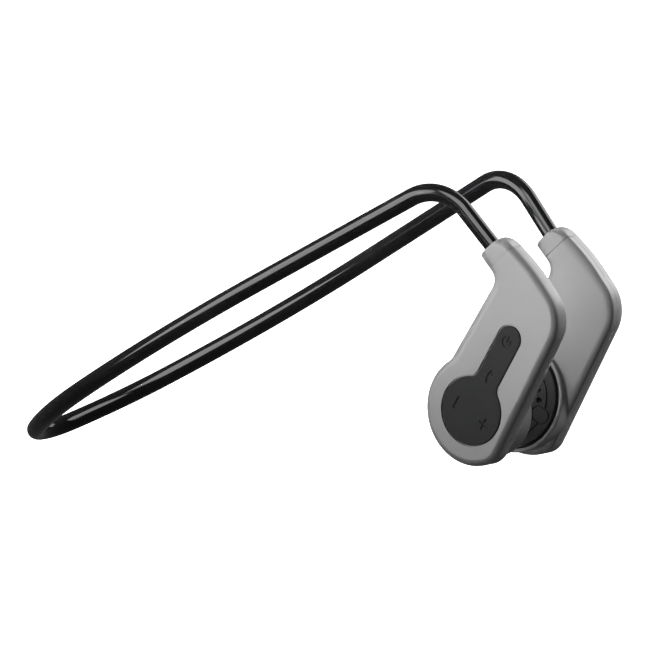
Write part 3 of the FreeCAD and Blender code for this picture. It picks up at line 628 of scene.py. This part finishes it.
def half_band(shift, side, tail):
    """Points from the band's rear to past the collar's top, and each one's place on the hook."""
    points, hook = [], []
    for centre, radius, first, last in loop_arcs(shift):
        length = radius * math.radians(first - last)
        count = max(LOOP_LEAST, int(length / LOOP_SPACING))
        for heading in np.linspace(first, last, count, endpoint=False):
            points.append(on_band(centre + square(unit(heading)) * radius, side))
            hook.append(0.0)
    end = centre + square(unit(last)) * radius
    straight = on_band(end, side)
    way = unit(last)
    reach = (HOOK_X - REAR_X) / math.cos(SLOPE)
    corner = on_band(end + way * ((reach - end[0]) / way[0]), side)
    top = np.array([LEG_TOP[0], side * (HALF_GAP + COLLAR_LEAN + shift), LEG_TOP[1]])
    forward, down = normal(corner - straight), normal(top - corner)
    half_turn = math.acos(forward @ down) / 2
    back = HOOK_ROUND * math.tan(half_turn)
    arc_start = corner - forward * back
    for t in np.linspace(0, 1, STRAIGHT_STEPS, endpoint=False):
        points.append(straight + (arc_start - straight) * t)
        hook.append(0.0)
    inward = normal(down - forward)
    centre = corner + inward * HOOK_ROUND / math.cos(half_turn)
    spoke = arc_start - centre
    for t in np.linspace(0, 2 * half_turn, HOOK_STEPS, endpoint=False):
        points.append(centre + spoke * math.cos(t) + forward * HOOK_ROUND * math.sin(t))
        hook.append(t / (2 * half_turn))
    arc_end, last_point = corner + down * back, top + down * tail
    for t in np.linspace(0, 1, LEG_STEPS):
        points.append(arc_end + (last_point - arc_end) * t)
        hook.append(1.0)
    return points, hook


def whole_band(shift, tail):
    right, right_hook = half_band(shift, -1, tail)
    left, left_hook = half_band(shift, 1, tail)
    return np.array(right[::-1] + left[1:]), np.array(right_hook[::-1] + left_hook[1:])


def section_rings(path, radii, count):
    """Circles along a path, carried along it without twisting."""
    ways = np.gradient(path, axis=0)
    ways /= np.linalg.norm(ways, axis=1, keepdims=True)
    across = normal(np.cross(ways[0], (0, 0, 1.0)))
    turn = np.arange(count) / count * 2 * math.pi
    rows = []
    for spot, way, radius in zip(path, ways, radii):
        across = normal(across - way * (across @ way))
        other = np.cross(way, across)
        rows.append(spot + radius * (np.cos(turn)[:, None] * across + np.sin(turn)[:, None] * other))
    return rows


def tube(name, path, radii, bore=None, count=36):
    """A bar along a path, or a tube if it has a bore."""
    build = Builder()
    start, end = build.rings(section_rings(path, radii, count))
    if bore:
        far, near = build.rings(section_rings(path, np.full(len(path), bore), count)[::-1])
        build.join(end, far)
        build.join(near, start)
    else:
        build.faces.append(tuple(start[::-1]))
        build.faces.append(tuple(end))
    return make_piece(name, build.points, build.faces, -1, 50.0)


# ---------------------------------------------------------------- collars, pads and keys

def collar(name, side):
    """A block round the end of the tube: the housing's section, with a rounder front at the top."""
    down = np.array([LEG[0], 0, LEG[1]])
    front = np.array([LEG_FRONT[0], 0, LEG_FRONT[1]])
    left = np.array([0, 1.0, 0])
    top = np.array([LEG_TOP[0], -HALF_GAP, LEG_TOP[1]])
    quarter = soft_edge(12)
    flat = [(0.6, HALF_THICK), (-0.4, HALF_THICK)]
    lip, crease = 0.15, 0.01

    def section(front_reach, rise=0.0):
        spots = []
        nose = COLLAR_NOSE * rise ** 2
        for way, reach, wide, deeper in ((1, front_reach, SOFT_IN * (1 + nose / 3), 1 + nose),
                                         (-1, NECK_REAR, SOFT_IN * REAR_SOFT, 1)):
            edge = [(way * reach, h) for h in np.linspace(0, HALF_THICK - SOFT_DEEP * deeper, 5)[:-1]]
            edge += [(way * (reach - wide * share), HALF_THICK - deep * deeper)
                     for share, deep in quarter]
            spots.append(edge)
        upper = spots[0] + flat + spots[1][::-1]
        return np.array(upper + [(f, -h) for f, h in upper[-2:0:-1]])

    turns = np.arctan2(section(NECK_FRONT)[:, 1], section(NECK_FRONT)[:, 0])

    def block(inset, along):
        rise = 1 - along / COLLAR_LENGTH
        front_reach = NECK_FRONT - COLLAR_FLARE * rise - COLLAR_SWEEP * rise ** 3
        scale = 1 - inset / np.array([(front_reach + NECK_REAR) / 2, HALF_THICK])
        shift = (front_reach - NECK_REAR) / 2
        spots = section(front_reach, max(rise, 0.0))
        f = (spots[:, 0] - shift) * scale[0] + shift
        return top + down * along + front * f[:, None] + left * (spots[:, 1] * scale[1])[:, None]

    path, _ = half_band(0.0, -1, COLLAR_LENGTH + 2)
    end, way = path[-1], normal(path[-1] - path[-2])

    def hole(radius, along):
        spot = end + way * ((top + down * along - end) @ down) / (way @ down)
        rays = front * np.cos(turns)[:, None] + left * np.sin(turns)[:, None]
        return spot + (rays - np.outer(rays @ way, way)) * radius

    bore = LEG_TUBE + 0.02
    low = COLLAR_LENGTH - NECK_GAP
    rows = [hole(bore + lip, 0.0), block(COLLAR_ROUND + 0.1, 0.0)]
    rows += [block(inset, -rise) for inset, rise in rounded_edge(0.0, COLLAR_ROUND, 9)[::-1]]
    rows += [block(0.0, along) for along in np.linspace(COLLAR_ROUND + 0.2, low - crease, 9)]
    rows.append(block(crease, low))
    rows += [hole(bore, low), hole(bore, lip)]
    build = Builder()
    first, last = build.rings(rows)
    build.join(last, first)
    return make_piece(name, build.points, build.faces, side, 40.0)


def polar_top(build, place, radii, count, height):
    """A round top whose height follows a function; returns its outermost ring."""
    centre = build.ring([place(np.array([0.0]), np.array([0.0]), height(0.0, 0.0))[0]])[0]
    turn = np.arange(count) / count * 2 * math.pi
    last = None
    for radius in radii:
        u, v = radius * np.cos(turn), radius * np.sin(turn)
        ring = build.ring(place(u, v, height(u, v)))
        if last is None:
            for i in range(count):
                build.faces.append((centre, ring[i], ring[(i + 1) % count]))
        else:
            build.join(ring, last)
            build.faces[-count:] = [face[::-1] for face in build.faces[-count:]]
        last = ring
    return last


def segment_distance(u, v, a, b):
    a, b = np.array(a), np.array(b)
    way = b - a
    t = np.clip(((u - a[0]) * way[0] + (v - a[1]) * way[1]) / (way @ way), 0, 1)
    return np.hypot(u - a[0] - t * way[0], v - a[1] - t * way[1])


def arc_distance(u, v, centre, radius, middle, half):
    """Distance to an arc about a middle heading, both in degrees."""
    du, dv = u - centre[0], v - centre[1]
    turn = np.degrees(np.arctan2(dv, du)) - middle
    turn = (turn + 180) % 360 - 180
    near = np.abs(np.hypot(du, dv) - radius)
    ends = [np.hypot(du - radius * math.cos(math.radians(middle + s * half)),
                     dv - radius * math.sin(math.radians(middle + s * half))) for s in (-1, 1)]
    return np.where(np.abs(turn) <= half, near, np.minimum(*ends))


def power_icon(a, c):
    return np.minimum(arc_distance(a, c, (0, 0), 1.25, 180, 140),
                      segment_distance(a, c, (0.35, 0), (1.45, 0)))


def call_icon(a, c):
    bow = arc_distance(a, c, (0.0, 1.9), 2.3, -90, 38)
    ends = np.minimum(segment_distance(a, c, (-1.42, 0.05), (-1.2, 0.5)),
                      segment_distance(a, c, (1.42, 0.05), (1.2, 0.5))) - 0.16
    return np.minimum(bow, ends)


def minus_icon(a, c):
    return segment_distance(a, c, (-1.5, 0), (1.5, 0))


def plus_icon(a, c):
    return np.minimum(segment_distance(a, c, (-1.3, 0), (1.3, 0)),
                      segment_distance(a, c, (0, -1.3), (0, 1.3)))


ICONS = {"power": power_icon, "call": call_icon, "minus": minus_icon, "plus": plus_icon}
STROKE, STROKE_DEPTH, STROKE_SOFT = 0.2, 0.24, 0.16


def key(name, kind):
    """A round key whose icon is sunk into its top; a runs along the arm and c across it."""
    place = KEY_PLACES[kind]
    radius = KEY + KEY_GROWTH

    def spot(a, c, height):
        plane = place + a[:, None] * ARM - c[:, None] * ACROSS
        out = np.broadcast_to(height, a.shape)
        return np.column_stack([plane[:, 0], -HALF_GAP - HALF_THICK - out, plane[:, 1]])

    def height(a, c):
        sunk = 1 - smooth_step(ICONS[kind](a, c), STROKE, STROKE + STROKE_SOFT)
        return -STROKE_DEPTH * sunk

    build = Builder()
    edge = polar_top(build, spot, np.linspace(0.05, radius, KEY_RINGS), KEY_SPOKES, height)
    turn = np.arange(KEY_SPOKES) / KEY_SPOKES * 2 * math.pi
    low = build.ring(spot(radius * np.cos(turn), radius * np.sin(turn), -KEY_TALL))
    build.join(edge, low)
    build.faces[-KEY_SPOKES:] = [face[::-1] for face in build.faces[-KEY_SPOKES:]]
    build.faces.append(tuple(low))
    return make_piece(name, build.points, build.faces, -1, 60.0)


def keypad_sheet():
    """The keyhole sheet of rubber round the keys."""
    build = Builder()
    soft, hole = 0.15, KEY + HOLE_GROWTH
    under = HALF_THICK - KEYPAD_THICK
    rows = [at_depth(sampled(keypad_outline(0.0), KEYPAD_COUNTS), under)]
    for inset, out in rounded_edge(HALF_THICK, soft, 5):
        rows.append(at_depth(sampled(keypad_outline(-inset), KEYPAD_COUNTS), out))
    rows.append(at_depth(sampled(keypad_outline(-soft - 0.1), KEYPAD_COUNTS), HALF_THICK))
    low, top = build.rings(rows)
    top_holes, low_holes = [], []
    for place in KEY_PLACES.values():
        rows = [at_depth(circle(place, hole + 0.2, KEY_SPOKES), HALF_THICK),
                at_depth(circle(place, hole, KEY_SPOKES), HALF_THICK),
                at_depth(circle(place, hole, KEY_SPOKES), under)]
        first, last = build.rings(rows)
        top_holes.append(first)
        low_holes.append(last)
    build.fill([top] + top_holes, OUTWARD)
    build.fill([low] + low_holes, INWARD)
    return make_piece("keypad_sheet", build.points, build.faces, -1, 40.0)


TAB_WAY = unit(TAB_ANGLE)
TAB_NEAR = TAB_WAY * (TAB_REACH + TAB_HALF - TAB_LENGTH)
TAB_FAR = TAB_WAY * (TAB_REACH - TAB_HALF)


def contact_pad(name, side, has_face):
    """The round pad: a raised flat with a sunk ring, and on the left a pocket and two holes."""
    ring_line, line_half, line_soft, line_deep = 9.7, 0.2, 0.1, 0.35
    pocket_start, pocket_end, pocket_deep = TAB_HALF + 0.2, TAB_HALF + 0.3, 0.55
    hole_start, hole_end, hole_deep = 0.66, 0.76, 0.85
    soft = 0.35

    def spot(u, v, height):
        return on_pod(u, v, np.broadcast_to(height, np.shape(u)) + PAD_PROUD)

    def height(u, v):
        rho = np.hypot(u, v)
        line = 1 - smooth_step(np.abs(rho - ring_line), line_half, line_half + line_soft)
        sunk = line_deep * line
        edge = np.clip((rho - PAD + soft) / soft, 0, 1)
        sunk = sunk + soft * (1 - np.sqrt(np.maximum(1 - edge ** 2, 0)))
        if has_face:
            pocket = 1 - smooth_step(segment_distance(u, v, TAB_NEAR, TAB_FAR), pocket_start, pocket_end)
            sunk = np.maximum(sunk, pocket_deep * pocket)
            for step in CONTACT_STEPS:
                far = np.hypot(u - CONTACT_X, v - CONTACT_MIDDLE - step * CONTACT_PITCH)
                sunk = np.maximum(sunk, hole_deep * (1 - smooth_step(far, hole_start, hole_end)))
        return -sunk

    inner_step, outer_step, count = (0.1, 0.1, 480) if has_face else (0.8, 0.25, 180)
    line_start, line_end = ring_line - 0.4, ring_line + 0.4
    radii = np.concatenate([np.arange(0.3, line_start, inner_step),
                            np.arange(line_start, line_end, 0.05),
                            np.arange(line_end, PAD - soft, outer_step),
                            PAD - soft + soft * np.sin(np.linspace(0, math.pi / 2, 9))])
    build = Builder()
    edge = polar_top(build, spot, radii, count, height)
    turn = np.arange(count) / count * 2 * math.pi
    low = build.ring(spot(PAD * np.cos(turn), PAD * np.sin(turn), np.float64(-PAD_THICK)))
    build.join(edge, low)
    build.faces[-count:] = [face[::-1] for face in build.faces[-count:]]
    build.faces.append(tuple(low))
    return make_piece(name, build.points, build.faces, side, 60.0)


def lathe(name, side, centre, profile, count):
    """A turned piece about the pod's axis, from (radius, height) pairs from its top's middle."""
    build = Builder()
    turn = np.arange(count) / count * 2 * math.pi
    rows = [on_pod(centre[0] + r * np.cos(turn), centre[1] + r * np.sin(turn), np.full(count, h))
            for r, h in profile]
    first, last = build.rings(rows)
    build.faces.append(tuple(first))
    build.faces.append(tuple(last[::-1]))
    return make_piece(name, build.points, build.faces, side, 40.0)


def tab_piece():
    """The left pad's pill-shaped tab, with a soft edge."""
    over = square(TAB_WAY)
    turns = np.linspace(-math.pi / 2, math.pi / 2, 25)
    under, edge_round = 0.5, 0.14

    def pill(inset, height):
        r = TAB_HALF - inset
        ends = [TAB_FAR + r * (TAB_WAY * math.cos(t) + over * math.sin(t)) for t in turns]
        ends += [TAB_NEAR - r * (TAB_WAY * math.cos(t) + over * math.sin(t)) for t in turns]
        plane = np.array(ends)
        return on_pod(plane[:, 0], plane[:, 1], np.full(len(plane), height))

    build = Builder()
    rows = [pill(0.0, PAD_PROUD - under)]
    rows += [pill(inset, out) for inset, out in rounded_edge(PAD_PROUD, edge_round, 6)]
    rows.append(pill(0.3, PAD_PROUD))
    low, top = build.rings(rows)
    build.fill([low], -POD_AXIS)
    build.fill([top], POD_AXIS)
    return make_piece("tab_pill", build.points, build.faces, 1, 40.0)


# ---------------------------------------------------------------- materials

def socket(node, name, value):
    node.inputs[name].default_value = value


def surface(name, colour, rough, metal=0.0, shade=0.12, rough_spread=0.05, grain=2500.0,
            grain_deep=0.000004, blotch=90.0, specular=0.5, stretch=(1, 1, 1), **extra):
    """A moulded, plated or painted surface: patchy colour, uneven gloss and a fine grain."""
    made = bpy.data.materials.new(name)
    made.use_nodes = True
    tree = made.node_tree
    shader = tree.nodes["Principled BSDF"]
    link = tree.links.new
    place = tree.nodes.new("ShaderNodeTexCoord")
    mapping = tree.nodes.new("ShaderNodeMapping")
    socket(mapping, "Scale", stretch)
    link(place.outputs["Object"], mapping.inputs["Vector"])
    patch = tree.nodes.new("ShaderNodeTexNoise")
    socket(patch, "Scale", blotch)
    socket(patch, "Detail", 4.0)
    link(mapping.outputs[0], patch.inputs["Vector"])
    fine = tree.nodes.new("ShaderNodeTexNoise")
    socket(fine, "Scale", grain)
    socket(fine, "Detail", 3.0)
    link(mapping.outputs[0], fine.inputs["Vector"])
    ramp = tree.nodes.new("ShaderNodeValToRGB")
    ramp.color_ramp.elements[0].position = 0.3
    ramp.color_ramp.elements[1].position = 0.7
    ramp.color_ramp.elements[0].color = (*[c * (1 - shade) for c in colour], 1)
    ramp.color_ramp.elements[1].color = (*[min(c * (1 + shade), 1) for c in colour], 1)
    link(patch.outputs["Fac"], ramp.inputs[0])
    link(ramp.outputs[0], shader.inputs["Base Color"])
    spread = tree.nodes.new("ShaderNodeMapRange")
    socket(spread, "From Min", 0.3)
    socket(spread, "From Max", 0.7)
    socket(spread, "To Min", max(rough - rough_spread, 0.02))
    socket(spread, "To Max", rough + rough_spread)
    link(fine.outputs["Fac"], spread.inputs[0])
    link(spread.outputs[0], shader.inputs["Roughness"])
    bump = tree.nodes.new("ShaderNodeBump")
    socket(bump, "Strength", 0.6)
    socket(bump, "Distance", grain_deep)
    link(fine.outputs["Fac"], bump.inputs["Height"])
    link(bump.outputs[0], shader.inputs["Normal"])
    socket(shader, "Metallic", metal)
    socket(shader, "Specular IOR Level", specular)
    for field, value in extra.items():
        socket(shader, field.replace("_", " "), value)
    return made


LOOKS = {
    "housing_plastic": surface("housing_plastic", (0.243, 0.24, 0.241), 0.42, 0.18, shade=0.02,
                               grain=3500, grain_deep=0.000002),
    "sleeve_silicone": surface("sleeve_silicone", (0.006, 0.006, 0.0065), 0.1, shade=0.2,
                               rough_spread=0.02, grain=2200, grain_deep=0.0000006),
    "key_rubber": surface("key_rubber", (0.021, 0.021, 0.022), 0.55, shade=0.05,
                          grain=4200, grain_deep=0.000006, specular=0.15),
    "pad_silicone": surface("pad_silicone", (0.031, 0.031, 0.032), 0.5, shade=0.06,
                            grain=3800, grain_deep=0.000004, specular=0.35),
    "surround_rubber": surface("surround_rubber", (0.006, 0.006, 0.006), 0.6, shade=0.2),
    "spring_steel": surface("spring_steel", (0.56, 0.56, 0.58), 0.3, 1.0, shade=0.05,
                            stretch=(1, 1, 8)),
    "plated_steel": surface("plated_steel", (0.62, 0.61, 0.58), 0.22, 1.0, shade=0.04),
    "copper_wire": surface("copper_wire", (0.72, 0.33, 0.16), 0.34, 1.0, shade=0.1, grain=6000),
    "gold_plate": surface("gold_plate", (0.83, 0.62, 0.25), 0.25, 1.0, shade=0.05),
    "cable_jacket": surface("cable_jacket", (0.03, 0.03, 0.03), 0.45),
    "board_green": surface("board_green", (0.015, 0.13, 0.05), 0.35, shade=0.2, grain=1200),
    "battery_foil": surface("battery_foil", (0.6, 0.6, 0.63), 0.3, 0.9, shade=0.05, grain=900,
                            grain_deep=0.00001),
    "chip_black": surface("chip_black", (0.02, 0.02, 0.02), 0.5, shade=0.15),
    "antenna_ceramic": surface("antenna_ceramic", (0.75, 0.75, 0.7), 0.4, shade=0.04),
    "frame_plastic": surface("frame_plastic", (0.16, 0.16, 0.165), 0.5, shade=0.08),
}


def finish_piece(piece, look, nodes, body=None):
    piece.data.materials.clear()
    piece.data.materials.append(LOOKS[look])
    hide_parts(*nodes)
    if body:
        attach(piece, body)


# ---------------------------------------------------------------- the pieces

for side, word in ((-1, "right"), (1, "left")):
    body = word + "_side"
    finish_piece(outer_shell(word + "_outer_housing", side, side < 0), "housing_plastic",
                 [word + "_outer_shell"], body)
    finish_piece(inner_shell(word + "_inner_housing", side, side < 0), "housing_plastic",
                 [word + "_inner_shell"], body)
    finish_piece(collar(word + "_neck_collar", side), "housing_plastic", [word + "_collar"], body)
    finish_piece(contact_pad(word + "_round_pad", side, side > 0), "pad_silicone",
                 [word + "_contact_pad"], word + "_driver")

finish_piece(keypad_sheet(), "key_rubber", ["keypad"], "right_side")
for kind in KEY_PLACES:
    finish_piece(key(kind + "_key", kind), "key_rubber", ["key_" + kind], "key_" + kind)

finish_piece(tab_piece(), "pad_silicone", ["locating_tab"], "left_driver")
PIN_PROFILE = [(0.12, -0.4), (0.3, -0.42), (0.44, -0.47), (0.48, -0.53), (0.48, -0.83)]
for number, step in enumerate(CONTACT_STEPS, 1):
    pin = lathe("charging_pin_%d" % number, 1, (CONTACT_X, CONTACT_MIDDLE + step * CONTACT_PITCH),
                PIN_PROFILE, 40)
    finish_piece(pin, "gold_plate", ["charging_contacts"], "left_driver")


def blended(piece, look, nodes):
    finish_piece(piece, look, nodes)
    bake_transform(piece)


path, hook = whole_band(0.0, COLLAR_LENGTH - TUBE_STOP)
sleeve_radii = TUBE + (LEG_TUBE - TUBE) * smooth_step(hook, TAPER_START, 1.0)
blended(tube("neckband_sleeve", path, sleeve_radii, BORE), "sleeve_silicone",
        ["right_sleeve", "rear_sleeve", "left_sleeve"])
path, _ = whole_band(WIRE_SHIFT, COLLAR_LENGTH + CORE_TAIL)
blended(tube("memory_wire", path, np.full(len(path), WIRE), count=16), "spring_steel", ["spring_wire"])
path, _ = whole_band(CABLE_SHIFT, COLLAR_LENGTH + CORE_TAIL)
blended(tube("driver_cable", path, np.full(len(path), CABLE), count=20), "cable_jacket",
        ["signal_cable"])

slots = {part["node"]: part["material_slot"] for part in frame["record"]["subparts"]}
for name, node in frame["nodes"].items():
    look = LOOKS[slots[name]]
    if not node.material_slots:
        node.data.materials.append(look)
    for place in node.material_slots:
        place.link = "OBJECT"
        place.material = look


# ---------------------------------------------------------------- camera, light and floor

AZIMUTH, ELEVATION, LEVEL = 34.5, 7.5, 2.32
LENS, SENSOR = 1500.0, 36.0
VIEW_WIDTH = 160.6
AIM_RIGHT, AIM_UP = -38.7, 21.7

a, e, roll = (math.radians(v) for v in (AZIMUTH, ELEVATION, LEVEL))
levelling = Matrix(((math.cos(roll), 0, math.sin(roll)), (0, 1, 0),
                    (-math.sin(roll), 0, math.cos(roll))))
right = levelling @ Vector((math.cos(a), math.sin(a), 0))
up = levelling @ Vector((-math.sin(a) * math.sin(e), math.cos(a) * math.sin(e), math.cos(e)))
back = right.cross(up)
aim = Vector((ORIGIN + [0, -HALF_GAP, 0]) * MM) + (right * AIM_RIGHT + up * AIM_UP) * MM
camera = bpy.data.objects.new("camera", bpy.data.cameras.new("camera"))
bpy.context.scene.collection.objects.link(camera)
bpy.context.scene.camera = camera
camera.data.lens, camera.data.sensor_width = LENS, SENSOR
camera.data.clip_start, camera.data.clip_end = 0.1, 60.0
distance = VIEW_WIDTH * MM * LENS / SENSOR
pose = Matrix((right, up, back)).transposed().to_4x4()
pose.translation = aim + back * distance
camera.matrix_world = pose


def softbox(name, way, far, wide, tall, power, aim_at=(0.045, 0.0, 0.03)):
    """A soft light shining at the object from a direction."""
    data = bpy.data.lights.new(name, "AREA")
    data.shape = "RECTANGLE"
    data.size, data.size_y, data.energy = wide, tall, power
    lamp = bpy.data.objects.new(name, data)
    bpy.context.scene.collection.objects.link(lamp)
    way = Vector(way).normalized()
    lamp.location = Vector(aim_at) + way * far
    lamp.rotation_mode = "QUATERNION"
    lamp.rotation_quaternion = way.to_track_quat("Z", "Y")
    return lamp


# The streaks of the two glossy lights; the second falls on the band only.
key_box = softbox("key_box", (-0.543, -0.796, 0.27), 1.0, 0.75, 0.75, 8.8)
key_box.visible_diffuse = False
leg_box = softbox("leg_box", (0.30, -0.76, 0.546), 1.0, 0.75, 0.75, 8.5)
leg_box.visible_diffuse = False
band_only = bpy.data.collections.new("band_only")
band_only.objects.link(bpy.data.objects["neckband_sleeve"])
leg_box.light_linking.receiver_collection = band_only
# A narrow beam aimed above the object, whose edge makes the tone fall down the housings.
BEAM_AIM, BEAM_SPREAD = (0.045, 0.0, 0.527), 4.0
grade_box = softbox("grade_box", (-0.543, -0.796, 0.2), 1.0, 0.8, 1.0, 3.3, BEAM_AIM)
grade_box.visible_glossy = False
grade_box.data.spread = math.radians(BEAM_SPREAD)
top_box = softbox("top_box", (0.42, 0.78, 0.6), 1.1, 0.8, 0.6, 25.0)
top_box.visible_glossy = False
fill_box = softbox("fill_box", (-0.72, -0.4, 0.57), 1.1, 0.7, 0.7, 8.5)
fill_box.visible_glossy = False
softbox("back_box", (0.2, 0.75, 0.5), 1.2, 0.9, 0.7, 6.0)

AMBIENT, BACKDROP = 0.09, 1.0
world = bpy.data.worlds.new("studio")
bpy.context.scene.world = world
world.use_nodes = True
nodes = world.node_tree.nodes
backdrop = nodes["Background"]
ambient = nodes.new("ShaderNodeBackground")
for shade, strength in ((backdrop, BACKDROP), (ambient, AMBIENT)):
    socket(shade, "Color", (1, 1, 1, 1))
    socket(shade, "Strength", strength)
seen = nodes.new("ShaderNodeLightPath")
pick = nodes.new("ShaderNodeMixShader")
world.node_tree.links.new(seen.outputs["Is Camera Ray"], pick.inputs[0])
world.node_tree.links.new(ambient.outputs[0], pick.inputs[1])
world.node_tree.links.new(backdrop.outputs[0], pick.inputs[2])
world.node_tree.links.new(pick.outputs[0], nodes["World Output"].inputs[0])

# The spread band carries the left housing below the object's own base, so the floor lies lower.
FLOOR_DROP, reach = 0.034, 4.0
floor_mesh = bpy.data.meshes.new("floor")
floor_mesh.from_pydata([(-reach, -reach, 0), (reach, -reach, 0), (reach, reach, 0), (-reach, reach, 0)],
                       [], [(0, 1, 2, 3)])
floor = bpy.data.objects.new("floor", floor_mesh)
bpy.context.scene.collection.objects.link(floor)
floor.location.z = -FLOOR_DROP
paper = bpy.data.materials.new("floor_paper")
paper.use_nodes = True
sheen = paper.node_tree.nodes["Principled BSDF"]
socket(sheen, "Base Color", (0.8, 0.8, 0.8, 1))
socket(sheen, "Roughness", 0.9)
socket(sheen, "Specular IOR Level", 0.0)
socket(sheen, "Emission Color", (1, 1, 1, 1))
socket(sheen, "Emission Strength", 0.8)
floor.data.materials.append(paper)
floor.visible_diffuse = False
floor.visible_glossy = False
# The object casts no shadow in the beam.
floor_only = bpy.data.collections.new("floor_only")
floor_only.objects.link(floor)
grade_box.light_linking.blocker_collection = floor_only

bpy.context.scene.view_settings.view_transform = "Standard"
